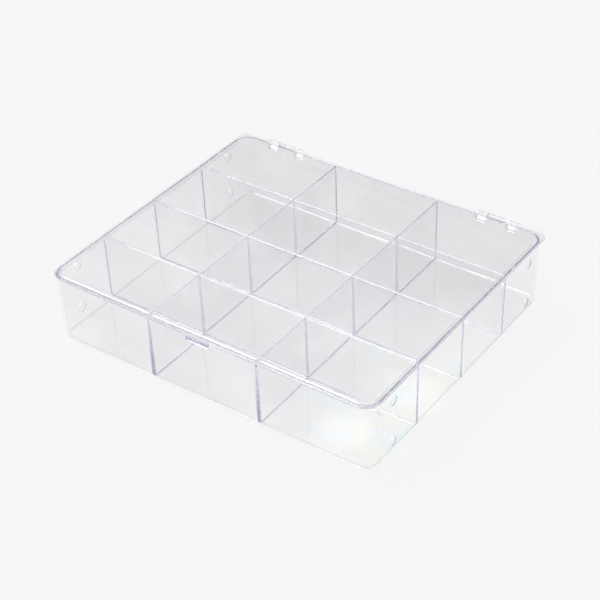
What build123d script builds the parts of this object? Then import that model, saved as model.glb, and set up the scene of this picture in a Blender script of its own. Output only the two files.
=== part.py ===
from build123d import *
from math import asin, atan2, cos, hypot, radians, sin, tan
import os

# A clear moulded case for photocards: a tray with twelve compartments under one hinged lid.
# Frame: origin at the middle of the underside, +Z up, the latch at -Y, the hinges at +Y. Millimetres.

# Compartments: three columns between two long dividers, four rows between three cross dividers
column_pitch = 98.0
row_pitch = 61.5
compartment_depth = 56.0
divider_foot = 2.0
divider_crest = 1.4

# Tray, with its width, depth and corner radius taken at the rim
tray_width = 291.0
tray_depth = 246.0
wall = 2.0
floor = 2.0
draft = 0.5
corner_radius = 13.0
foot_radius = 5.0
inner_foot_radius = 2.0

# Lid: a flat plate, with a rib under it that drops inside the front and side walls
lid_thickness = 2.0
lid_overhang = 1.2
lid_edge_radius = 1.2
rear_corner_radius = 9.0
corner_step = 2.4
rib_thickness = 1.5
rib_depth = 2.4
rib_clearance = 0.4
notch_clearance = 0.8

# Hinges: one middle knuckle on the lid between two on the tray, on a plain pin
hinge_offset = 101.5
hinge_length = 35.0
tray_knuckle_length = 8.0
knuckle_gap = 0.4
knuckle_radius = 2.5
barrel_standoff = 0.3
bracket_height = 5.0
pin_drop = 1.0
pin_radius = 1.0
pin_clearance = 0.05
pin_chamfer = 0.2

# Latch: a finger lip on the lid, with a ridge that snaps under a catch on the front wall
latch_width = 20.0
latch_drop = 2.8
latch_reach = 2.4
latch_gap = 0.3
latch_bevel = 0.4
ridge_reach = 0.5
ridge_height = 0.8
catch_width = 12.0
catch_height = 0.9
snap_clearance = 0.2

# Shallow round recesses near the four corners of both side walls
recess_radius = 4.0
recess_depth = 0.6
recess_front = -94.0
recess_rear = 97.5
recess_low = 11.0
recess_high = 48.0

tray_height = floor + compartment_depth
lid_top = tray_height + lid_thickness
column_places = [-column_pitch / 2, column_pitch / 2]
row_places = [-row_pitch, 0.0, row_pitch]
lid_half_width = tray_width / 2 + lid_overhang
lid_front = -(tray_depth / 2 + lid_overhang)
lid_rear = tray_depth / 2 + lid_overhang
pin_y = lid_rear + barrel_standoff + knuckle_radius
pin_z = tray_height - pin_drop
hinge_places = [-hinge_offset, hinge_offset]


def wall_face(half_size, z):
    """How far from the middle the outside of a drafted wall is at height z."""
    return half_size - (tray_height - z) * tan(radians(draft))


def drafted_block(width, depth, radius, base, top):
    """A block with round corners, as large as stated at the rim, that narrows with the draft."""
    def outline(z):
        inset = wall_face(0, tray_height) - wall_face(0, z)
        return Pos(0, 0, z) * RectangleRounded(width - 2 * inset, depth - 2 * inset, radius - inset)
    return loft([outline(base), outline(top)])


def edges_at(shape, z):
    """The edges that lie flat at height z."""
    found = []
    for edge in shape.edges():
        box = edge.bounding_box()
        if abs(box.min.Z - z) < 1e-4 and abs(box.max.Z - z) < 1e-4:
            found.append(edge)
    return found


def box_between(low, high):
    """A box from its low corner to its high corner."""
    size = [high[i] - low[i] for i in range(3)]
    middle = [(high[i] + low[i]) / 2 for i in range(3)]
    return Pos(*middle) * Box(*size)


def rod(radius, x_from, x_to, y, z):
    """A cylinder along X."""
    middle = Pos((x_from + x_to) / 2, y, z) * Rot(0, 90, 0)
    return middle * Cylinder(radius, abs(x_to - x_from))


def prism_x(points, x_from, x_to):
    """A (Y, Z) outline stretched along X."""
    corners = [Vector(x_from, y, z) for y, z in points]
    face = make_face(Polyline(*corners, close=True).edges())
    return extrude(face, x_to - x_from, dir=(1, 0, 0))


def tray_outside():
    block = drafted_block(tray_width, tray_depth, corner_radius, 0, tray_height)
    return fillet(edges_at(block, 0), foot_radius)


def tray_hollow():
    """The space inside the walls, above the floor, round at its foot."""
    block = drafted_block(tray_width - 2 * wall, tray_depth - 2 * wall, corner_radius - wall,
                          floor, tray_height)
    return fillet(edges_at(block, floor), inner_foot_radius)


def side_recesses():
    recesses = []
    for side in (-1, 1):
        for y in (recess_front, recess_rear):
            for z in (recess_low, recess_high):
                face = wall_face(tray_width / 2, z)
                recesses.append(rod(recess_radius, side * (face - recess_depth), side * (face + wall), y, z))
    return recesses


def tray_knuckle(x_from, x_to):
    """A knuckle on a bracket that leaves the rear wall low down and meets the barrel at a tangent."""
    low = pin_z - bracket_height
    face = wall_face(tray_depth / 2, low)
    root = face - wall / 2
    to_pin = (pin_y - face, bracket_height)
    slope = atan2(to_pin[1], to_pin[0]) - asin(knuckle_radius / hypot(*to_pin))
    tangent = (pin_y + knuckle_radius * sin(slope), pin_z - knuckle_radius * cos(slope))
    outline = [(root, low), (face, low), tangent, (pin_y, pin_z), (root, pin_z)]
    return prism_x(outline, x_from, x_to) + rod(knuckle_radius, x_from, x_to, pin_y, pin_z)


def tray_knuckles():
    knuckles = []
    for middle in hinge_places:
        left_end, right_end = middle - hinge_length / 2, middle + hinge_length / 2
        knuckles.append(tray_knuckle(left_end, left_end + tray_knuckle_length))
        knuckles.append(tray_knuckle(right_end - tray_knuckle_length, right_end))
    return knuckles


def pin_bore(radius, middle):
    return rod(radius, middle - hinge_length, middle + hinge_length, pin_y, pin_z)


def latch_face():
    """Where the inner face of the latch is."""
    return lid_front - latch_gap


def catch():
    """The wedge on the front wall: its sharp lower edge keeps the latch's ridge down."""
    low = tray_height - latch_drop + ridge_height + snap_clearance
    root = -wall_face(tray_depth / 2, low) + wall / 2
    tip = latch_face() + ridge_reach + snap_clearance
    outline = [(root, low), (tip, low), (tip, low + catch_height / 2), (root, low + catch_height)]
    return prism_x(outline, -catch_width / 2, catch_width / 2)


def tray_shell():
    hollow = tray_hollow()
    shell = tray_outside() - hollow
    for recess in side_recesses():
        shell -= recess
    for piece in tray_knuckles() + [catch()]:
        shell += piece - hollow
    for middle in hinge_places:
        shell -= pin_bore(pin_radius, middle)
    return shell


def divider_plate(place):
    """A divider as an endless plate across Y at X = place, thinner at its crest."""
    reach = max(tray_width, tray_depth)
    foot, crest = divider_foot / 2, divider_crest / 2
    outline = [(-foot, floor), (foot, floor), (crest, tray_height), (-crest, tray_height)]
    along_x = prism_x(outline, -reach, reach)
    return Pos(place, 0, 0) * Rot(0, 0, 90) * along_x


def lid_outline():
    """The lid's plan: a round-cornered plate whose rear edge steps out beyond both hinges."""
    depth = lid_rear + corner_step - lid_front
    middle = (lid_rear + corner_step + lid_front) / 2
    plate = Pos(0, middle) * RectangleRounded(2 * lid_half_width, depth, rear_corner_radius)
    front = Pos(0, middle) * RectangleRounded(2 * lid_half_width, depth, corner_radius + lid_overhang)
    front_half = Pos(0, middle - depth / 2) * Rectangle(2 * lid_half_width, depth)
    plate = plate - front_half + (front & front_half)
    free_length = 2 * hinge_offset + hinge_length + 2 * knuckle_gap
    relief = Pos(0, lid_rear + corner_step / 2) * Rectangle(free_length, corner_step)
    return plate - relief


def locating_rib():
    """The low rib inside the front and side walls, broken at each divider."""
    reach = wall + rib_clearance
    width, depth = tray_width - 2 * reach, tray_depth - 2 * reach
    radius = corner_radius - reach
    ring = RectangleRounded(width, depth, radius)
    ring -= RectangleRounded(width - 2 * rib_thickness, depth - 2 * rib_thickness, radius - rib_thickness)
    rib = extrude(Pos(0, 0, tray_height) * ring, rib_depth, dir=(0, 0, -1))
    gap = divider_crest / 2 + notch_clearance
    low, high = tray_height - rib_depth, tray_height
    rib_end = tray_depth / 2 - corner_radius
    rib -= box_between((-tray_width, rib_end, low), (tray_width, tray_depth, high))
    for x in column_places:
        rib -= box_between((x - gap, -tray_depth, low), (x + gap, tray_depth, high))
    for y in row_places:
        rib -= box_between((-tray_width, y - gap, low), (tray_width, y + gap, high))
    return rib


def lid_knuckle(middle):
    """The lid's knuckle, on an arm as thick as the plate."""
    half = hinge_length / 2 - tray_knuckle_length - knuckle_gap
    arm = box_between((middle - half, lid_rear - lid_thickness, tray_height), (middle + half, pin_y, lid_top))
    return arm + rod(knuckle_radius, middle - half, middle + half, pin_y, pin_z)


def latch():
    """The finger lip outside the front wall, with its ridge along the lower inner edge."""
    root = lid_front + lid_thickness / 2
    face = latch_face()
    outside = lid_front - latch_reach
    foot = tray_height - latch_drop
    outline = [(root, lid_top), (outside + latch_bevel, lid_top), (outside, lid_top - latch_bevel),
               (outside, foot + latch_bevel), (outside + latch_bevel, foot), (face, foot),
               (face + ridge_reach, foot + ridge_height / 2), (face, foot + ridge_height),
               (face, tray_height), (root, tray_height)]
    return prism_x(outline, -latch_width / 2, latch_width / 2)


def lid():
    plate = extrude(Pos(0, 0, tray_height) * lid_outline(), lid_thickness)
    plate = fillet(edges_at(plate, lid_top), lid_edge_radius)
    plate += locating_rib()
    plate += latch()
    for middle in hinge_places:
        plate += lid_knuckle(middle)
        plate -= pin_bore(pin_radius + pin_clearance, middle)
    return plate


def hinge_pin(middle):
    pin = rod(pin_radius, middle - hinge_length / 2, middle + hinge_length / 2, pin_y, pin_z)
    return chamfer(pin.edges(), pin_chamfer)


def row_divider(place, hollow, columns):
    """A cross divider in three stretches, one between each two walls or long dividers."""
    row = Rot(0, 0, 90) * divider_plate(place) & hollow
    for column in columns:
        row -= column
    return row


def parts():
    shell = tray_shell()
    hollow = tray_hollow()
    floor_slab = box_between((-tray_width, -tray_depth, 0), (tray_width, tray_depth, floor))
    pieces = {"tray_floor": shell & floor_slab, "tray_wall": shell - floor_slab}
    columns = [divider_plate(place) for place in column_places]
    for name, column in zip(("left", "right"), columns):
        pieces["column_divider_" + name] = column & hollow
    for name, place in zip(("front", "middle", "rear"), row_places):
        pieces["row_divider_" + name] = row_divider(place, hollow, columns)
    pieces["lid"] = lid()
    for name, middle in zip(("left", "right"), hinge_places):
        pieces["hinge_pin_" + name] = hinge_pin(middle)
    return pieces


os.makedirs("parts", exist_ok=True)
for node, shape in parts().items():
    solids = shape.solids()
    export_step(solids[0] if len(solids) == 1 else Compound(list(solids)), f"parts/{node}.step")
    print(node, len(solids), "solids", round(sum(solid.volume for solid in solids)), "mm3")
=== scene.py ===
import math

import bmesh
import bpy
from mathutils import Matrix, Vector


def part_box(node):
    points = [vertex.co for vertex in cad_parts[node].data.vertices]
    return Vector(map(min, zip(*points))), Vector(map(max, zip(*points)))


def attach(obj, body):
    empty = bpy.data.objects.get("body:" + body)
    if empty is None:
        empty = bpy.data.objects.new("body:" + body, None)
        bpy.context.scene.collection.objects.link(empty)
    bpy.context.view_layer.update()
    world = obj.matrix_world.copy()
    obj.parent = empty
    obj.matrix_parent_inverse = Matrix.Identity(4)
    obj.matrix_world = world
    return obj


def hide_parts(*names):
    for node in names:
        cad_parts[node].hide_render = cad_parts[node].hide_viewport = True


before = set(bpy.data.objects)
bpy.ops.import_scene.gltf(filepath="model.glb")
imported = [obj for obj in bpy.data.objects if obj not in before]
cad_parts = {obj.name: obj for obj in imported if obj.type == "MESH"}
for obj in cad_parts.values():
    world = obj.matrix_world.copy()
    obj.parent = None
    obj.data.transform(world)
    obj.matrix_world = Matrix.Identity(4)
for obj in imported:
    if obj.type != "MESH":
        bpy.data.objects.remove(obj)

bl_info = {
    "name": "Photocard Organizer Box",
    "version": (1, 0, 0),
    "blender": (4, 5, 0),
    "location": "View3D > Sidebar > Card Box",
    "description": "Builds a clear moulded case with twelve compartments, its lid, hinges and stage",
    "category": "Object",
}

MM = 0.001
COLUMN_NODES = ["column_divider_left", "column_divider_right"]
ROW_NODES = ["row_divider_front", "row_divider_middle", "row_divider_rear"]
SHELL_NODES = ["tray_floor", "tray_wall", *COLUMN_NODES, *ROW_NODES]
PIN_NODES = ["hinge_pin_left", "hinge_pin_right"]

# How many flats each round stretch is cut into
OUTSIDE_CORNER = 14
OUTSIDE_FOOT = 8
INSIDE_CORNER = 10
INSIDE_FOOT = 9
EDGE_ROUND = 3
LID_CORNER = 16
LID_TOP_ROUND = 6
RIB_CORNER = 14
RIB_ROUND = 8
BARREL_SIDES = 48

# Limits of the shapes and of their shading
LEAST_RADIUS = 0.1 * MM
LEAST_MITRE = 0.2
CUTTER_MARGIN = 1 * MM
FLAT_AREA = 200 * MM ** 2
LEVEL_NORMAL = 0.9999
SHARP_COSINE = math.cos(math.radians(40))

# Marks of moulding that cover a whole face, and the painted caustic glow: scale and detail of the
# noise, and where a mark fades in
CLOUDS = (22, 3)
CLOUD_FADE = (0.42, 0.66)
SCRATCHES = (260, 4)
SCRATCH_FADE = (0.60, 0.72)
SCRATCH_ROUGHNESS = 0.03
WAVES = (14, 2)
WAVE_HEIGHT = 1 * MM
# Painted caustic glow: pastel hues lighter than the walls, laid near the tray's right front corner
GLOW_HUES = (30, 1)
GLOW_HUE_STOPS = [(0.38, (0.955, 1.0, 1.0)), (0.47, (1.0, 1.0, 1.0)), (0.54, (1.0, 1.0, 0.965)),
             (0.62, (1.0, 0.99, 1.0))]

# Stage: floor and its painted light pools, soft edges of the light in parts of a direction, camera and
# light paths
FLOOR_REACH = 6.0
FLOOR_DROP = 0.2 * MM
POOL_MIDDLES = [(103 * MM, -93 * MM, 0), (122 * MM, -34 * MM, 0)]
POOL_FADE = (32 * MM, 6 * MM)
STRIP_SIDE_FADE = 0.3
STRIP_END_FADE = 0.05
HORIZON_FADE = (0.0, 0.1)
SENSOR_WIDTH = 36
CLIP_END = 20
BOUNCES = 1024


def length(name, description, millimetres):
    return bpy.props.FloatProperty(name=name, description=description, default=millimetres * MM,
                                   unit="LENGTH")


def angle(name, description, degrees):
    return bpy.props.FloatProperty(name=name, description=description,
                                   default=math.radians(degrees), subtype="ANGLE")


def number(name, description, value):
    return bpy.props.FloatProperty(name=name, description=description, default=value)


def colour(name, description, red, green, blue):
    return bpy.props.FloatVectorProperty(name=name, description=description, subtype="COLOR", size=3,
                                         min=0, max=1, default=(red, green, blue))


class TraySizes(bpy.types.PropertyGroup):
    """The tray's own sizes; heights and divider places come from the frame"""
    width: length("Width", "Tray width at the rim", 291)
    depth: length("Depth", "Tray depth at the rim", 246)
    wall: length("Wall", "Thickness of the walls", 2)
    crest: length("Divider crest", "Thickness of a divider at its top", 1.4)
    draft: angle("Draft", "Lean of the walls out of the mould", 0.5)
    corner_radius: length("Corner radius", "Outer corner radius at the rim", 13)
    foot_radius: length("Foot radius", "Outer radius along the foot", 5)
    inner_foot_radius: length("Inner foot radius", "Radius along the foot inside the walls", 2)
    divider_fillet: length("Divider fillet", "Radius where a divider meets the floor or a wall", 0.6)
    edge_round: length("Edge rounding", "Radius of the rim and crest edges", 0.6)
    row_slope: length("Row crest slope", "How far a row crest slopes down towards the front", 1.15)
    row_back: length("Row crest back", "The same towards the rear", 0.15)
    lid_air: length("Air under lid", "Air between the rim and the closed lid", 0.15)
    recess_radius: length("Recess radius", "Radius of the round side recesses", 4)
    recess_depth: length("Recess depth", "How deep a side recess is", 0.6)
    recess_front: length("Front recesses", "Their place along the wall", -94)
    recess_rear: length("Rear recesses", "Their place along the wall", 97.5)
    recess_low: length("Low recesses", "Height of the lower recesses", 11)
    recess_high: length("High recesses", "Height of the upper recesses", 48)


class LidSizes(bpy.types.PropertyGroup):
    """The lid's own sizes; its heights come from the frame"""
    overhang: length("Overhang", "How far the lid passes the tray's rim", 1.2)
    thickness: length("Thickness", "Thickness of the plate", 2)
    rear_corner_radius: length("Rear corner radius", "Radius of the two corners by the hinges", 9)
    corner_step: length("Corner step", "How far the rear edge steps out beyond the hinges", 2.4)
    top_round: length("Top edge radius", "Radius of the plate's upper edge", 1.2)
    low_round: length("Lower edge radius", "Radius of the plate's lower edge", 0.3)
    rib_thickness: length("Rib", "Thickness of the rib under the plate", 1.5)
    rib_depth: length("Rib depth", "How far the rib reaches down", 2.4)
    rib_gap: length("Rib gap", "Air between the rib and the walls", 0.4)
    notch: length("Notch", "Half width of the rib's gap at a divider", 1.5)
    latch_width: length("Latch width", "Width of the finger lip", 20)
    latch_drop: length("Latch drop", "How far the lip hangs below the rim", 2.8)
    latch_reach: length("Latch reach", "How far the lip stands out", 2.4)
    latch_gap: length("Latch gap", "Air between the lip and the plate's edge line", 0.3)
    latch_bevel: length("Latch bevel", "Bevel on the lip's outer edges", 0.4)
    ridge_reach: length("Ridge reach", "How far the snap ridge stands in", 0.5)
    ridge_height: length("Ridge height", "Height of the snap ridge", 0.8)


class HingeSizes(bpy.types.PropertyGroup):
    """Knuckles and brackets on the rear wall"""
    knuckle_radius: length("Knuckle radius", "Radius of the barrels", 2.5)
    knuckle_length: length("Knuckle length", "Length of a tray knuckle", 8)
    knuckle_gap: length("Knuckle gap", "Air between two knuckles", 0.4)
    bracket_height: length("Bracket height", "How far a bracket runs down", 5)
    bore_gap: length("Bore gap", "Air between a pin and its bore", 0.05)


class CatchSizes(bpy.types.PropertyGroup):
    """The wedge on the front wall that keeps the latch down"""
    width: length("Width", "Width of the catch", 12)
    height: length("Height", "Height of the wedge", 0.9)
    drop: length("Drop", "Lower edge below the rim", 1.8)
    reach: length("Reach", "How far it stands out of the wall", 0.8)


class ClearPlastic(bpy.types.PropertyGroup):
    """Finish of the clear moulded polystyrene"""
    face_colour: colour("Face colour", "Colour of a thin wall", 0.948, 0.948, 0.955)
    clear_colour: colour("Clear colour", "Colour where a wall is clearest", 0.978, 0.978, 0.983)
    lip_colour: colour("Lip colour", "Deeper tint along the finger lip", 0.30, 0.28, 0.50)
    joint_colour: colour("Joint colour", "Deeper tint low down where the long dividers meet the front",
                         0.42, 0.44, 0.60)
    foot_colour: colour("Foot colour", "Faint tint along the outer foot", 0.70, 0.70, 0.72)
    depth_colour: colour("Depth colour", "Tint seen along an edge", 0.67, 0.655, 0.83)
    depth_density: number("Depth density", "How fast the tint builds up", 5.5)
    lid_density: number("Lid density", "The same for the lid and pins, which are clearer", 0.6)
    index: number("Index", "Index of refraction", 1.59)
    roughness: number("Roughness", "Roughness of a polished face", 0.01)
    wave: number("Wave", "How uneven the flat faces are", 0.04)
    crest_index: number("Crest index", "Shine of the polished crests", 2.4)
    crest_roughness: number("Crest roughness", "Softness of that shine", 0.15)


class StageSettings(bpy.types.PropertyGroup):
    """Floor, light and camera"""
    floor_colour: colour("Floor colour", "Pale floor", 0.93, 0.93, 0.93)
    flat_share: number("Even floor", "Share of the floor seen as evenly lit", 0.86)
    pool: number("Light pool", "Extra light the case gathers on the floor", 0.13)
    ambient: number("Ambient", "Brightness of the light tent", 0.81)
    grey: number("Grey wall", "Brightness of the grey wall behind the case", 0.36)
    grey_lean: bpy.props.FloatVectorProperty(
        name="Grey wall lean", description="Direction from the wall's upper edge down into the wall",
        subtype="DIRECTION", size=3, default=(-0.035, 0.659, -0.752))
    grey_end: number("Grey wall end", "Where along that direction the wall starts to show", -0.01)
    grey_full: number("Grey wall full", "Where along it the wall has its full grey", 0.065)
    strip: number("Strip light", "Brightness of the strip softbox", 3.0)
    strip_side: number("Strip side", "How far left the strip hangs", -0.475)
    strip_width: number("Strip width", "Half width of the strip", 0.14)
    strip_near: number("Strip near end", "Front end of the strip", -0.5)
    strip_far: number("Strip far end", "Rear end of the strip", 0.35)
    lens: number("Lens", "Focal length in millimetres", 91.96)
    azimuth: angle("Azimuth", "Camera direction round the case", 36.67)
    elevation: angle("Elevation", "Camera height angle", 36.62)
    roll: angle("Roll", "Camera tilt about its own axis", -2.32)
    target: bpy.props.FloatVectorProperty(
        name="Target", description="The point in the middle of the picture",
        subtype="TRANSLATION", size=3, default=(-12.2 * MM, 15.0 * MM, 2.0 * MM))
    distance: length("Distance", "Camera to target", 1219.9)


def node_middle(node):
    low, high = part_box(node)
    return [(low[i] + high[i]) / 2 for i in range(3)]


def node_size(node):
    low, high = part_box(node)
    return [high[i] - low[i] for i in range(3)]


def case_heights():
    """The top of the floor, the rim and the top of the lid. A long divider stands from floor to rim."""
    low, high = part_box(COLUMN_NODES[0])
    return low[2], high[2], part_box("lid")[1][2]


def pin_axis():
    """Y and Z of the line that both pins lie on."""
    return node_middle(PIN_NODES[0])[1:]


def pin_ends(node):
    low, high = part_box(node)
    return low[0], high[0]


def wall_face(sizes, half_size, z, rim):
    """How far from the middle the outside of a drafted wall is at height z."""
    return half_size - (rim - z) * math.tan(sizes.draft)


def lid_front(lid, tray):
    return -tray.depth / 2 - lid.overhang


def lid_rear(lid, tray):
    return tray.depth / 2 + lid.overhang


def loop_points(bounds, radii, z, steps):
    """A rounded rectangle at height z. Radii go round from the front right corner."""
    x0, x1, y0, y1 = bounds
    corners = [(x1, y0, 1, -1), (x1, y1, 1, 1), (x0, y1, -1, 1), (x0, y0, -1, -1)]
    points = []
    for index, (x, y, side_x, side_y) in enumerate(corners):
        radius = radii[index]
        start = math.radians(90 * index - 90)
        for step in range(steps + 1):
            turn = start + math.radians(90) * step / steps
            points.append(Vector((x - side_x * radius + radius * math.cos(turn),
                                  y - side_y * radius + radius * math.sin(turn), z)))
    return points


def rounding(radius, steps, arc=90):
    """The steps of a round edge, from its side over its top: how far in, and how far below the top."""
    turns = [math.radians(arc) * k / steps for k in range(steps + 1)]
    return [(radius * (1 - math.cos(turn)), radius * (1 - math.sin(turn))) for turn in turns]


def foot_inset(height, radius):
    """How far a face has turned in at a height above the foot of its fillet."""
    if height >= radius:
        return 0.0
    return radius - math.sqrt(radius ** 2 - (radius - height) ** 2)


def add_loop(bm, points):
    return [bm.verts.new(point) for point in points]


def bridge(bm, lower, upper):
    """A band of faces between two closed loops."""
    count = len(lower)
    for i in range(count):
        j = (i + 1) % count
        bm.faces.new((lower[i], lower[j], upper[j], upper[i]))


def loop_edges(bm, loop):
    return [bm.edges.get((loop[i], loop[(i + 1) % len(loop)])) for i in range(len(loop))]


def skin(bm, bounds_at, radii_at, heights, foot_radius, flare, steps):
    """A wall from its foot to the rim: a fillet along the foot, a drafted face, a rounded upper edge.

    flare is how far the upper edge turns outwards, or inwards where it is negative."""
    foot, rim = heights
    corner_steps, foot_steps = steps
    stops = [(foot + height, 0) for height, _ in rounding(foot_radius, foot_steps)]
    stops += [(rim - drop, math.copysign(inset, flare))
              for inset, drop in rounding(abs(flare), EDGE_ROUND)]
    loops = [add_loop(bm, loop_points(bounds_at(z, shift), radii_at(z, shift), z, corner_steps))
             for z, shift in stops]
    for lower, upper in zip(loops, loops[1:]):
        bridge(bm, lower, upper)
    bm.faces.new(loops[0])
    return loops[-1]


def outer_skin(bm, sizes, rim):
    """The outside of the walls, down to the flat underside."""
    def inset(z):
        return (rim - z) * math.tan(sizes.draft) + foot_inset(z, sizes.foot_radius)

    def bounds_at(z, shift):
        x = sizes.width / 2 - inset(z) + shift
        y = sizes.depth / 2 - inset(z) + shift
        return -x, x, -y, y

    def radii_at(z, shift):
        return [sizes.corner_radius - inset(z) + shift] * 4

    return skin(bm, bounds_at, radii_at, (0.0, rim), sizes.foot_radius, -sizes.edge_round,
                (OUTSIDE_CORNER, OUTSIDE_FOOT))


def compartment_skin(bm, sizes, sides, foot, rim):
    """One compartment's walls and floor.

    sides holds its places at the rim, left, right, front and rear, and whether each is an outer wall.

    A row's crest slopes, because the compartment in front of it opens wider at its rear."""
    (left, left_wall), (right, right_wall), (front, front_wall), (rear, rear_wall) = sides
    wall_lean = math.tan(sizes.draft)
    divider_lean = (node_size(COLUMN_NODES[0])[0] - sizes.crest) / 2 / (rim - foot)
    front_share = 1 if front_wall else sizes.row_back / sizes.edge_round
    rear_share = 1 if rear_wall else sizes.row_slope / sizes.edge_round

    def side_inset(z, is_wall):
        lean = wall_lean if is_wall else divider_lean
        fillet = sizes.inner_foot_radius if is_wall else sizes.divider_fillet
        return (rim - z) * lean + foot_inset(z - foot, fillet)

    def bounds_at(z, shift):
        return (left + side_inset(z, left_wall) - shift,
                right - side_inset(z, right_wall) + shift,
                front + side_inset(z, front_wall) - shift * front_share,
                rear - side_inset(z, rear_wall) + shift * rear_share)

    def radii_at(z, shift):
        radii = []
        for side_x, side_y in ((right_wall, front_wall), (right_wall, rear_wall),
                               (left_wall, rear_wall), (left_wall, front_wall)):
            inset = min(side_inset(z, side_x), side_inset(z, side_y))
            full = sizes.divider_fillet + inset
            if side_x and side_y:
                full = sizes.corner_radius - sizes.wall
            radii.append(max(full - inset + shift, LEAST_RADIUS))
        return radii

    return skin(bm, bounds_at, radii_at, (foot, rim), sizes.inner_foot_radius, sizes.edge_round,
                (INSIDE_CORNER, INSIDE_FOOT))


def compartment_sides(sizes):
    """Every compartment's four sides, from the places of the dividers."""
    half = sizes.crest / 2
    columns = [node_middle(node)[0] for node in COLUMN_NODES]
    rows = [node_middle(node)[1] for node in ROW_NODES]

    def spans(places, reach):
        stops = [(-reach, True)]
        for place in places:
            stops += [(place - half, False), (place + half, False)]
        stops.append((reach, True))
        return list(zip(stops[::2], stops[1::2]))

    found = []
    for left, right in spans(columns, sizes.width / 2 - sizes.wall):
        for front, rear in spans(rows, sizes.depth / 2 - sizes.wall):
            found.append((left, right, front, rear))
    return found


def new_object(name, bm):
    bmesh.ops.recalc_face_normals(bm, faces=bm.faces)
    mesh = bpy.data.meshes.new(name)
    bm.to_mesh(mesh)
    bm.free()
    obj = bpy.data.objects.new(name, mesh)
    bpy.context.scene.collection.objects.link(obj)
    return obj


def prism(name, outline, x_from, x_to):
    """A (Y, Z) outline stretched along X."""
    bm = bmesh.new()
    near = add_loop(bm, [(x_from, y, z) for y, z in outline])
    far = add_loop(bm, [(x_to, y, z) for y, z in outline])
    bridge(bm, near, far)
    bm.faces.new(near)
    bm.faces.new(far)
    return new_object(name, bm)


def rod(name, y, z, radius, x_from, x_to):
    """A round bar along X."""
    turns = [math.tau * k / BARREL_SIDES for k in range(BARREL_SIDES)]
    outline = [(y + radius * math.cos(turn), z + radius * math.sin(turn)) for turn in turns]
    return prism(name, outline, x_from, x_to)


def block(low, high):
    bm = bmesh.new()
    bmesh.ops.create_cube(bm, size=1)
    for vert in bm.verts:
        vert.co = Vector([(low[i] + high[i]) / 2 + vert.co[i] * (high[i] - low[i]) for i in range(3)])
    return new_object("block", bm)


def combine(obj, others, operation):
    """Joins or cuts closed pieces, and removes them."""
    for other in others:
        modifier = obj.modifiers.new("combine", "BOOLEAN")
        modifier.object = other
        modifier.operation = operation
        modifier.solver = "EXACT"
    depsgraph = bpy.context.evaluated_depsgraph_get()
    result = bpy.data.meshes.new_from_object(obj.evaluated_get(depsgraph))
    obj.modifiers.clear()
    old = obj.data
    obj.data = result
    bpy.data.meshes.remove(old)
    for other in others:
        bpy.data.objects.remove(other)


def shade_moulded(obj):
    """Smooth along fillets, true on flats, sharp where faces meet at an angle.

    A corner takes the normal of the flats around it, or else the mean of the curved faces."""
    mesh = obj.data
    around = [[] for _ in mesh.vertices]
    for polygon in mesh.polygons:
        polygon.use_smooth = True
        for index in polygon.vertices:
            around[index].append(polygon)
    normals = []
    for polygon in mesh.polygons:
        for index in polygon.vertices:
            near = [face for face in around[index] if face.normal.dot(polygon.normal) > SHARP_COSINE]
            flats = [face for face in near
                     if face.area > FLAT_AREA or abs(face.normal.z) > LEVEL_NORMAL]
            total = Vector()
            for face in flats or near:
                total += face.normal * face.area
            normals.append(total.normalized() if total.length else polygon.normal)
    mesh.normals_split_custom_set(normals)


def wear_only(obj, material):
    """One material all over, in place of what the combined pieces brought."""
    obj.data.materials.clear()
    obj.data.materials.append(material)


def side_recesses(sizes, rim):
    """Shallow round recesses near the corners of both side walls, to be cut."""
    recesses = []
    for side in (-1, 1):
        for y in (sizes.recess_front, sizes.recess_rear):
            for z in (sizes.recess_low, sizes.recess_high):
                face = wall_face(sizes, sizes.width / 2, z, rim)
                ends = sorted((side * (face - sizes.recess_depth), side * (face + sizes.wall)))
                recesses.append(rod("recess", y, z, sizes.recess_radius, *ends))
    return recesses


def tray_knuckles(sizes, hinges, rim):
    """The tray's knuckles on their brackets, each bracket tangent to its barrel."""
    pin_y, pin_z = pin_axis()
    low = pin_z - hinges.bracket_height
    face = wall_face(sizes, sizes.depth / 2, low, rim)
    root = face - sizes.wall / 2
    radius = hinges.knuckle_radius
    slope = math.atan2(hinges.bracket_height, pin_y - face)
    slope -= math.asin(radius / math.hypot(pin_y - face, hinges.bracket_height))
    tangent = (pin_y + radius * math.sin(slope), pin_z - radius * math.cos(slope))
    outline = [(root, low), (face, low), tangent, (pin_y, pin_z), (root, pin_z)]
    spans = []
    for node in PIN_NODES:
        left, right = pin_ends(node)
        spans += [(left, left + hinges.knuckle_length), (right - hinges.knuckle_length, right)]
    brackets = [prism("bracket", outline, *span) for span in spans]
    return brackets + [rod("barrel", pin_y, pin_z, radius, *span) for span in spans]


def pin_bores(hinges):
    """The bores for both pins, to be cut through tray and lid alike."""
    radius = node_size(PIN_NODES[0])[2] / 2 + hinges.bore_gap
    bores = []
    for left, right in map(pin_ends, PIN_NODES):
        bores.append(rod("bore", *pin_axis(), radius, left - CUTTER_MARGIN, right + CUTTER_MARGIN))
    return bores


def front_catch(sizes, catch, rim):
    """The wedge under which the latch snaps."""
    low = rim - catch.drop
    face = -wall_face(sizes, sizes.depth / 2, low, rim)
    root = face + sizes.wall / 2
    tip = face - catch.reach
    outline = [(root, low), (tip, low), (tip, low + catch.height / 2), (root, low + catch.height)]
    return prism("catch", outline, -catch.width / 2, catch.width / 2)


def inwards(points, distance):
    """A closed outline moved inwards, corner by corner."""
    moved = []
    count = len(points)
    for i in range(count):
        before = (points[i] - points[i - 1]).normalized()
        after = (points[(i + 1) % count] - points[i]).normalized()
        into = Vector((-before.y, before.x))
        side = (into + Vector((-after.y, after.x))).normalized()
        moved.append(points[i] + side * distance / max(side.dot(into), LEAST_MITRE))
    return moved


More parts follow.
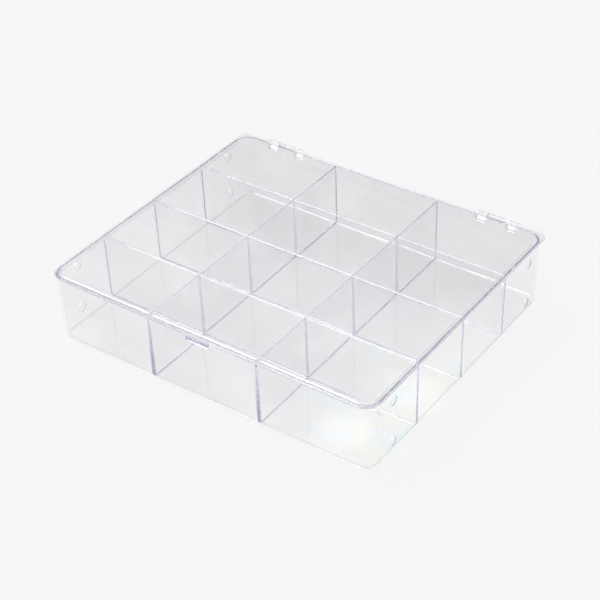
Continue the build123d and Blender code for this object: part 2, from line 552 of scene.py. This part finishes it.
def lid_outline(lid, tray, hinges):
    """The plate's plan, from the front right corner round, with its step beyond the hinges."""
    half = tray.width / 2 + lid.overhang
    rear = lid_rear(lid, tray)
    stepped = rear + lid.corner_step
    front_radius = tray.corner_radius + lid.overhang
    radii = [front_radius, lid.rear_corner_radius, lid.rear_corner_radius, front_radius]
    bounds = (-half, half, lid_front(lid, tray), stepped)
    points = [point.to_2d() for point in loop_points(bounds, radii, 0, LID_CORNER)]
    right_side = 2 * (LID_CORNER + 1)
    hinge_end = pin_ends(PIN_NODES[1])[1] + hinges.knuckle_gap
    step = [(hinge_end, stepped), (hinge_end, rear), (-hinge_end, rear), (-hinge_end, stepped)]
    return points[:right_side] + [Vector(point) for point in step] + points[right_side:]


def lid_plate(lid, outline, low, high):
    """The plate over its outline, with a rounded lower and upper edge."""
    profile = [(drop, low + inset) for inset, drop in rounding(lid.low_round, EDGE_ROUND)]
    profile += [(inset, high - drop) for inset, drop in rounding(lid.top_round, LID_TOP_ROUND)]
    bm = bmesh.new()
    loops = [add_loop(bm, [(point.x, point.y, z) for point in inwards(outline, inset)])
             for inset, z in profile]
    for lower, upper in zip(loops, loops[1:]):
        bridge(bm, lower, upper)
    bm.faces.new(loops[0])
    bm.faces.new(loops[-1])
    return new_object("lid", bm)


def lid_rib(lid, tray, low, high):
    """The rib inside the front and side walls, round below and broken at each divider."""
    outside = tray.wall + lid.rib_gap
    profile = [(outside, high)]
    profile += [(outside + inset, low + drop)
                for inset, drop in rounding(lid.rib_thickness / 2, RIB_ROUND, arc=180)]
    profile.append((outside + lid.rib_thickness, high))
    bm = bmesh.new()
    loops = []
    for inset, z in profile:
        x, y = tray.width / 2 - inset, tray.depth / 2 - inset
        radii = [tray.corner_radius - inset] * 4
        loops.append(add_loop(bm, loop_points((-x, x, -y, y), radii, z, RIB_CORNER)))
    for lower, upper in zip(loops, loops[1:] + loops[:1]):
        bridge(bm, lower, upper)
    rib = new_object("rib", bm)

    reach, half = tray.width, lid.notch
    below, above = low - CUTTER_MARGIN, high + CUTTER_MARGIN
    rear_end = tray.depth / 2 - tray.corner_radius
    notches = [block((-reach, rear_end, below), (reach, reach, above))]
    for x in [node_middle(node)[0] for node in COLUMN_NODES]:
        notches.append(block((x - half, -reach, below), (x + half, reach, above)))
    for y in [node_middle(node)[1] for node in ROW_NODES]:
        notches.append(block((-reach, y - half, below), (reach, y + half, above)))
    combine(rib, notches, "DIFFERENCE")
    return rib


def lid_latch(lid, front, rim, top):
    """The finger lip outside the front wall, with its snap ridge along the lower inner edge."""
    root, face, outside = front + lid.thickness / 2, front - lid.latch_gap, front - lid.latch_reach
    foot, bevel = rim - lid.latch_drop, lid.latch_bevel
    outline = [(root, top), (outside + bevel, top), (outside, top - bevel), (outside, foot + bevel),
               (outside + bevel, foot), (face, foot),
               (face + lid.ridge_reach, foot + lid.ridge_height / 2),
               (face, foot + lid.ridge_height), (face, rim), (root, rim)]
    return prism("latch", outline, -lid.latch_width / 2, lid.latch_width / 2)


def lid_knuckles(lid, hinges, rear, rim, top):
    """The lid's knuckles, each on an arm as thick as the plate."""
    pieces = []
    pin_y, pin_z = pin_axis()
    beside = hinges.knuckle_length + hinges.knuckle_gap
    for left, right in map(pin_ends, PIN_NODES):
        pieces.append(block((left + beside, rear - lid.thickness, rim), (right - beside, pin_y, top)))
        pieces.append(rod("barrel", pin_y, pin_z, hinges.knuckle_radius, left + beside, right - beside))
    return pieces


class Wiring:
    """Adds nodes to one tree and wires them up"""

    def __init__(self, tree):
        self.nodes, self.links = tree.nodes, tree.links

    def fill(self, node, values):
        """Gives inputs, by name or number, a link or a plain value each."""
        for key, value in values.items():
            if isinstance(value, bpy.types.NodeSocket):
                self.links.new(value, node.inputs[key])
            else:
                node.inputs[key].default_value = value

    def add(self, kind, values, result, **settings):
        """A node with its settings and inputs, of which one output is wanted."""
        node = self.nodes.new(kind)
        for name, setting in settings.items():
            setattr(node, name, setting)
        self.fill(node, values)
        return node.outputs[result]

    def axes(self, place):
        node = self.nodes.new("ShaderNodeSeparateXYZ")
        self.fill(node, {"Vector": place})
        return node.outputs

    def maths(self, operation, *values):
        return self.add("ShaderNodeMath", dict(enumerate(values)), "Value", operation=operation)

    def vector_maths(self, operation, first, second):
        return self.add("ShaderNodeVectorMath", {0: first, 1: second}, "Value", operation=operation)

    def soft_step(self, value, start, end):
        """1 past the end, 0 before the start, soft between."""
        return self.add("ShaderNodeMapRange", {"Value": value, "From Min": start, "From Max": end},
                        "Result", interpolation_type="SMOOTHSTEP")

    def within(self, strength, *limits):
        """The strength where every value is past the end of its fade, down to 0 before a start."""
        for value, limit in limits:
            strength = self.maths("MULTIPLY", strength, self.soft_step(value, *limit))
        return strength

    def blend(self, share, first, second):
        """One colour faded into another."""
        return self.add("ShaderNodeMix", {"Factor": share, "A": first, "B": second}, "Result",
                        data_type="RGBA")

    def noise(self, place, scale, detail):
        values = {"Vector": place, "Scale": scale, "Detail": detail}
        return self.add("ShaderNodeTexNoise", values, "Fac")


def with_alpha(shade):
    """A colour as the nodes take it, with its fourth value."""
    return (*shade, 1)


def fade(place, start, end):
    """Where a mark fades in, from start to end in millimetres past a place."""
    return place + start * MM, place + end * MM


def painted_glow_hues(surface, place):
    """Painted caustic glow: pale pastel bands, lighter than the walls, standing in for light gathered
    at the corner.
    """
    ramp = surface.nodes.new("ShaderNodeValToRGB")
    stops = ramp.color_ramp.elements
    for position, shade in GLOW_HUE_STOPS:
        stops.new(position).color = with_alpha(shade)
    stops.remove(stops[-1])
    stops.remove(stops[0])
    surface.fill(ramp, {"Fac": surface.noise(place, *GLOW_HUES)})
    return ramp.outputs["Color"]


def painted_glow_mask(surface, strength, x, y):
    """Where the painted caustic glow lies: near the right front corner of the tray."""
    across = fade(0, 65, 115)
    along = fade(0, 75, -40)
    return surface.within(strength, (x, across), (y, along))


def joint_mask(surface, strength, from_column, y, z, wall_inside):
    """Low down on the two joints of the long dividers with the front wall."""
    across = fade(0, 1.7, 1.1)
    along = fade(-wall_inside, 2, 1)
    height = fade(0, 50, 5)
    return surface.within(strength, (from_column, across), (y, along), (z, height))


def foot_mask(surface, strength, aside, y, z, tray):
    """Along the outer foot at the front and on both sides."""
    across = fade(tray.width / 2 - tray.foot_radius, -0.9, 0.1)
    along = fade(tray.foot_radius - tray.depth / 2, 1, 0)
    height = fade(0, 0.9, 0.3)
    edge = surface.maths("MAXIMUM", surface.soft_step(aside, *across), surface.soft_step(y, *along))
    return surface.maths("MULTIPLY", edge, surface.within(strength, (z, height)))


def lip_mask(surface, strength, y, z, front, rim, top):
    """The outside of the finger lip, between the rim and the top of the lid."""
    along = fade(front, -0.6, -1.1)
    lower = fade(rim, -0.8, -0.2)
    upper = fade(top, 0.2, -0.3)
    return surface.within(strength, (y, along), (z, lower), (z, upper))


def crest_mask(surface, strength, y, z, rim):
    """The polished crests of the row dividers."""
    row_pitch = node_middle(ROW_NODES[2])[1] - node_middle(ROW_NODES[1])[1]
    from_row = surface.maths("PINGPONG", y, row_pitch / 2)
    across = fade(0, 0.9, 0.8)
    height = fade(rim, -1.0, -0.7)
    return surface.within(strength, (from_row, across), (z, height))


def rear_foot_mask(surface, strength, from_column, y, z, wall_inside, floor_top):
    """The polished fillet along the inner foot of the rear wall, clear of the long dividers."""
    clear = fade(0, 1.4, 2.0)
    nearer = fade(wall_inside, -3.2, -2.7)
    farther = fade(wall_inside, 0.3, -0.1)
    lower = fade(floor_top, -0.2, 0)
    upper = fade(floor_top, 2.2, 1.8)
    return surface.within(strength, (from_column, clear), (y, nearer), (y, farther), (z, lower),
                          (z, upper))


def new_surface_group():
    group = bpy.data.node_groups.new("moulded surface and painted glow", "ShaderNodeTree")
    sockets = {("INPUT", "NodeSocketColor"): ("Colour", "Clear Colour", "Joint Colour", "Foot Colour",
                                              "Lip Colour"),
               ("INPUT", "NodeSocketFloat"): ("Roughness", "Tray Marks And Glow", "Lid Marks"),
               ("OUTPUT", "NodeSocketColor"): ("Colour",),
               ("OUTPUT", "NodeSocketFloat"): ("Roughness", "Height", "Polish")}
    for (side, kind), names in sockets.items():
        for name in names:
            group.interface.new_socket(name=name, in_out=side, socket_type=kind)
    return group


def moulded_surface_and_glow(tray, lid):
    """What moulding leaves on a clear face: clouds, tints, polish and scratches; and a painted caustic
    glow near the tray's right front corner.
    """
    group = bpy.data.node_groups.get("moulded surface and painted glow")
    if group:
        return group
    group = new_surface_group()
    surface = Wiring(group)
    given = surface.nodes.new("NodeGroupInput").outputs
    tray_marks_and_glow, lid_marks = given["Tray Marks And Glow"], given["Lid Marks"]
    place = surface.nodes.new("ShaderNodeTexCoord").outputs["Object"]
    x, y, z = surface.axes(place)
    floor_top, rim, top = case_heights()
    wall_inside = tray.depth / 2 - tray.wall
    column = node_middle(COLUMN_NODES[1])[0]
    aside = surface.maths("ABSOLUTE", x)
    from_column = surface.maths("ABSOLUTE", surface.maths("SUBTRACT", aside, column))

    clouds = surface.soft_step(surface.noise(place, *CLOUDS), *CLOUD_FADE)
    tint_and_glow = surface.blend(clouds, given["Colour"], given["Clear Colour"])
    tints_and_glow = [
        # Painted caustic glow: lighter pastel colour near the right front corner
        (painted_glow_mask(surface, tray_marks_and_glow, x, y), painted_glow_hues(surface, place)),
        (joint_mask(surface, tray_marks_and_glow, from_column, y, z, wall_inside), given["Joint Colour"]),
        (foot_mask(surface, tray_marks_and_glow, aside, y, z, tray), given["Foot Colour"]),
        (lip_mask(surface, lid_marks, y, z, lid_front(lid, tray), rim, top), given["Lip Colour"]),
    ]
    for mask, tint in tints_and_glow:
        tint_and_glow = surface.blend(mask, tint_and_glow, tint)
    crests = crest_mask(surface, tray_marks_and_glow, y, z, rim)
    rear_foot = rear_foot_mask(surface, tray_marks_and_glow, from_column, y, z, wall_inside, floor_top)
    scratches = surface.soft_step(surface.noise(place, *SCRATCHES), *SCRATCH_FADE)
    surface.fill(surface.nodes.new("NodeGroupOutput"), {
        "Colour": tint_and_glow,
        "Roughness": surface.maths("MULTIPLY_ADD", scratches, SCRATCH_ROUGHNESS, given["Roughness"]),
        "Height": surface.noise(place, *WAVES),
        "Polish": surface.maths("MAXIMUM", crests, rear_foot),
    })
    return group


def clear_plastic(name, scene, density, tray_marks_and_glow=0, lid_marks=0):
    """Clear polystyrene: a violet tint that builds up along edges, the marks of moulding, and on the
    tray a painted caustic glow.
    """
    finish = scene.card_plastic
    material = bpy.data.materials.new(name)
    material.use_nodes = True
    wiring = Wiring(material.node_tree)
    surface = wiring.nodes.new("ShaderNodeGroup")
    surface.node_tree = moulded_surface_and_glow(scene.card_tray, scene.card_lid)
    wiring.fill(surface, {
        "Colour": with_alpha(finish.face_colour), "Clear Colour": with_alpha(finish.clear_colour),
        "Joint Colour": with_alpha(finish.joint_colour), "Foot Colour": with_alpha(finish.foot_colour),
        "Lip Colour": with_alpha(finish.lip_colour), "Roughness": finish.roughness,
        "Tray Marks And Glow": tray_marks_and_glow, "Lid Marks": lid_marks,
    })
    wave = {"Strength": finish.wave, "Distance": WAVE_HEIGHT, "Height": surface.outputs["Height"]}
    shader = wiring.nodes["Principled BSDF"]
    wiring.fill(shader, {
        "Base Color": surface.outputs["Colour"], "Roughness": surface.outputs["Roughness"],
        "IOR": finish.index, "Transmission Weight": 1.0,
        "Normal": wiring.add("ShaderNodeBump", wave, "Normal"),
    })
    if tray_marks_and_glow:
        wiring.fill(shader, {"Coat Weight": surface.outputs["Polish"], "Coat IOR": finish.crest_index,
                             "Coat Roughness": finish.crest_roughness})
    depth = {"Color": with_alpha(finish.depth_colour), "Density": density}
    wiring.fill(wiring.nodes["Material Output"],
                {"Volume": wiring.add("ShaderNodeVolumeAbsorption", depth, "Volume")})
    return material


class CARDBOX_OT_tray(bpy.types.Operator):
    """Build the tray: walls, floor and dividers in one moulding, with recesses, catch and knuckles"""
    bl_idname = "cardbox.tray"
    bl_label = "Tray"

    def execute(self, context):
        scene = context.scene
        sizes, hinges = scene.card_tray, scene.card_hinges
        foot, frame_rim, _ = case_heights()
        rim = frame_rim - sizes.lid_air
        bm = bmesh.new()
        tops = [outer_skin(bm, sizes, rim)]
        for sides in compartment_sides(sizes):
            tops.append(compartment_skin(bm, sizes, sides, foot, rim))
        edges = [edge for loop in tops for edge in loop_edges(bm, loop)]
        bmesh.ops.triangle_fill(bm, edges=edges, use_beauty=True, use_dissolve=False)
        tray = new_object("tray", bm)
        combine(tray, [*tray_knuckles(sizes, hinges, rim), front_catch(sizes, scene.card_catch, rim)],
                "UNION")
        combine(tray, pin_bores(hinges) + side_recesses(sizes, rim), "DIFFERENCE")
        shade_moulded(tray)
        density = scene.card_plastic.depth_density
        wear_only(tray, clear_plastic("clear tray with painted glow", scene, density, tray_marks_and_glow=1))
        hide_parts(*SHELL_NODES)
        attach(tray, "tray")
        return {"FINISHED"}


class CARDBOX_OT_lid(bpy.types.Operator):
    """Build the lid: a plate with rounded edges, the rib under it, the latch and the hinge knuckles"""
    bl_idname = "cardbox.lid"
    bl_label = "Lid"

    def execute(self, context):
        scene = context.scene
        sizes, tray, hinges = scene.card_lid, scene.card_tray, scene.card_hinges
        _, rim, top = case_heights()
        rib_root = rim + sizes.thickness / 4
        lid = lid_plate(sizes, lid_outline(sizes, tray, hinges), rim, top)
        pieces = [lid_rib(sizes, tray, rim - sizes.rib_depth, rib_root),
                  lid_latch(sizes, lid_front(sizes, tray), rim, top),
                  *lid_knuckles(sizes, hinges, lid_rear(sizes, tray), rim, top)]
        combine(lid, pieces, "UNION")
        combine(lid, pin_bores(hinges), "DIFFERENCE")
        shade_moulded(lid)
        density = scene.card_plastic.lid_density
        wear_only(lid, clear_plastic("clear lid", scene, density, lid_marks=1))
        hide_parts("lid")
        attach(lid, "lid")
        return {"FINISHED"}


class CARDBOX_OT_pins(bpy.types.Operator):
    """Finish the hinge pins"""
    bl_idname = "cardbox.pins"
    bl_label = "Hinge Pins"

    def execute(self, context):
        scene = context.scene
        plastic = clear_plastic("clear pin", scene, scene.card_plastic.lid_density)
        for node in PIN_NODES:
            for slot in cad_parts[node].material_slots:
                slot.material = plastic
        return {"FINISHED"}


def studio_world(stage):
    """A light tent with a grey wall behind the case and one long softbox overhead on the left."""
    world = bpy.data.worlds.new("studio")
    bpy.context.scene.world = world
    world.use_nodes = True
    light = Wiring(world.node_tree)
    towards = light.nodes.new("ShaderNodeTexCoord").outputs["Generated"]
    x, y, z = light.axes(towards)
    from_strip = light.maths("ABSOLUTE", light.maths("SUBTRACT", x, stage.strip_side))
    side_fade = (stage.strip_width * (1 + STRIP_SIDE_FADE), stage.strip_width * (1 - STRIP_SIDE_FADE))
    near_fade = (stage.strip_near - STRIP_END_FADE, stage.strip_near + STRIP_END_FADE)
    far_fade = (stage.strip_far + STRIP_END_FADE, stage.strip_far - STRIP_END_FADE)
    strip = light.within(stage.strip, (from_strip, side_fade), (y, near_fade), (y, far_fade),
                         (z, HORIZON_FADE))
    into_wall = light.vector_maths("DOT_PRODUCT", towards, Vector(stage.grey_lean).normalized())
    wall = light.soft_step(into_wall, stage.grey_end, stage.grey_full)
    room = light.maths("MULTIPLY_ADD", wall, stage.grey - stage.ambient, stage.ambient)
    light.fill(light.nodes["Background"], {"Color": with_alpha((1, 1, 1)),
                                           "Strength": light.maths("ADD", room, strip)})


def pale_floor(stage):
    """A floor that keeps a faint shadow; part of it is seen evenly lit, also through the plastic, with
    painted pools of caustic light in that part.
    """
    material = bpy.data.materials.new("pale floor")
    material.use_nodes = True
    wiring = Wiring(material.node_tree)
    shader = wiring.nodes["Principled BSDF"]
    wiring.fill(shader, {"Base Color": with_alpha(stage.floor_colour), "Roughness": 1.0,
                         "Specular IOR Level": 0.0})
    place = wiring.nodes.new("ShaderNodeTexCoord").outputs["Object"]
    # Painted pools of caustic light, added to the floor's even glow
    strength_with_painted_pools = 1.0
    for middle in POOL_MIDDLES:
        away = wiring.vector_maths("DISTANCE", place, middle)
        strength_with_painted_pools = wiring.maths("ADD", strength_with_painted_pools, wiring.within(stage.pool, (away, POOL_FADE)))
    even = {"Color": with_alpha(stage.floor_colour), "Strength": strength_with_painted_pools}
    rays = wiring.nodes.new("ShaderNodeLightPath").outputs
    seen = wiring.maths("MAXIMUM", rays["Is Camera Ray"], rays["Is Glossy Ray"])
    seen = wiring.maths("MAXIMUM", seen, rays["Is Transmission Ray"])
    mixed = {"Fac": wiring.maths("MULTIPLY", seen, stage.flat_share), 1: shader.outputs["BSDF"],
             2: wiring.add("ShaderNodeEmission", even, "Emission")}
    wiring.fill(wiring.nodes["Material Output"],
                {"Surface": wiring.add("ShaderNodeMixShader", mixed, "Shader")})
    return material


def stage_floor(stage):
    bm = bmesh.new()
    bmesh.ops.create_grid(bm, x_segments=1, y_segments=1, size=FLOOR_REACH)
    floor = new_object("stage_floor", bm)
    floor.location.z = -FLOOR_DROP
    floor.data.materials.append(pale_floor(stage))


def camera(stage):
    """A camera at the photograph's angle, looking at the target."""
    data = bpy.data.cameras.new("camera")
    data.lens = stage.lens
    data.sensor_width = SENSOR_WIDTH
    data.clip_end = CLIP_END
    cam = bpy.data.objects.new("camera", data)
    bpy.context.scene.collection.objects.link(cam)
    az, el, roll = stage.azimuth, stage.elevation, stage.roll
    back = Vector((math.sin(az) * math.cos(el), -math.cos(az) * math.cos(el), math.sin(el)))
    right = Vector((math.cos(az), math.sin(az), 0))
    up = back.cross(right)
    turned_right = right * math.cos(roll) + up * math.sin(roll)
    turned_up = up * math.cos(roll) - right * math.sin(roll)
    matrix = Matrix((turned_right, turned_up, back)).transposed().to_4x4()
    matrix.translation = Vector(stage.target) + back * stage.distance
    cam.matrix_world = matrix
    bpy.context.scene.camera = cam


class CARDBOX_OT_stage(bpy.types.Operator):
    """Set the floor, the light and the camera"""
    bl_idname = "cardbox.stage"
    bl_label = "Stage"

    def execute(self, context):
        scene = context.scene
        stage = scene.card_stage
        studio_world(stage)
        stage_floor(stage)
        camera(stage)
        scene.view_settings.view_transform = "Standard"
        scene.cycles.max_bounces = BOUNCES
        scene.cycles.transmission_bounces = BOUNCES
        scene.cycles.glossy_bounces = BOUNCES
        scene.cycles.blur_glossy = 0.0
        return {"FINISHED"}


class CARDBOX_PT_panel(bpy.types.Panel):
    """The case's pieces in the sidebar"""
    bl_idname = "CARDBOX_PT_panel"
    bl_label = "Card Box"
    bl_space_type = "VIEW_3D"
    bl_region_type = "UI"
    bl_category = "Card Box"

    def draw(self, context):
        for operator in OPERATORS:
            self.layout.operator(operator.bl_idname)
        for group in PROPERTIES:
            box = self.layout.box()
            values = getattr(context.scene, group)
            for name in values.bl_rna.properties.keys():
                if name not in ("rna_type", "name"):
                    box.prop(values, name)


OPERATORS = [CARDBOX_OT_tray, CARDBOX_OT_lid, CARDBOX_OT_pins, CARDBOX_OT_stage]
PROPERTIES = {"card_tray": TraySizes, "card_lid": LidSizes, "card_hinges": HingeSizes,
              "card_catch": CatchSizes, "card_plastic": ClearPlastic, "card_stage": StageSettings}


def register():
    for cls in [*PROPERTIES.values(), *OPERATORS, CARDBOX_PT_panel]:
        bpy.utils.register_class(cls)
    for name, group in PROPERTIES.items():
        setattr(bpy.types.Scene, name, bpy.props.PointerProperty(type=group))


def unregister():
    for name in PROPERTIES:
        delattr(bpy.types.Scene, name)
    for cls in reversed([*PROPERTIES.values(), *OPERATORS, CARDBOX_PT_panel]):
        bpy.utils.unregister_class(cls)


def main():
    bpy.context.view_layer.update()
    register()
    bpy.ops.cardbox.tray()
    bpy.ops.cardbox.lid()
    bpy.ops.cardbox.pins()
    bpy.ops.cardbox.stage()


if __name__ == "__main__":
    main()
